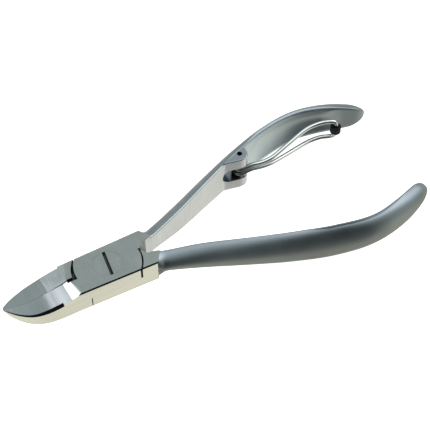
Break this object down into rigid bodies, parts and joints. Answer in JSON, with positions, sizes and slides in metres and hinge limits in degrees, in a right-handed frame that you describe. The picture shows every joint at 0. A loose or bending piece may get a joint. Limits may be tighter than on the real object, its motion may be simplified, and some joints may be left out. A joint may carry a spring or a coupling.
{
  "type": "nail clipper",
  "caption": "Pliers-style nail clipper with hollow-ground jaws, a lap joint on a slotted screw, leaf-shaped handles and a fold-away wire spring.",
  "frame": {"origin": "where the pivot axis meets the head's back face, on the end of the pivot screw", "axes": "+X from the pivot to the handle ends, +Y to the handle that carries the spring, +Z along the pivot axis to the slotted screw head"},
  "size_m": [0.1314, 0.0532, 0.0144],
  "materials": {
    "lever_steel": "satin on the handles and on the head's flat top, polished on the jaws and the head's sides",
    "screw_steel": "satin, ground flush with the head",
    "spring_wire": "drawn and polished",
    "roller_sleeve": "matt black"
  },
  "bodies": {
    "spring_lever": {"spring_lever": "lever_steel", "spring_pin": "screw_steel"},
    "plain_lever": {"plain_lever": "lever_steel", "pivot_screw": "screw_steel"},
    "wire_spring": {"wire_spring": "spring_wire"},
    "spring_roller": {"spring_roller": "roller_sleeve"}
  },
  "joints": [
    {"name": "jaw_pivot", "type": "hinge", "parent": "spring_lever", "child": "plain_lever", "pos_m": [0, 0, 0.0041], "axis": [0, 0, -1], "range_deg": [0, 40]},
    {"name": "spring_swing", "type": "hinge", "parent": "spring_lever", "child": "wire_spring", "pos_m": [0.0524, 0.0164, 0.0041], "axis": [0, 0, -1], "range_deg": [0, 74]},
    {"name": "roller_spin", "type": "hinge", "parent": "wire_spring", "child": "spring_roller", "pos_m": [0.087, 0.0158, 0.0041], "axis": [0, 0, 1], "continuous": true}
  ]
}
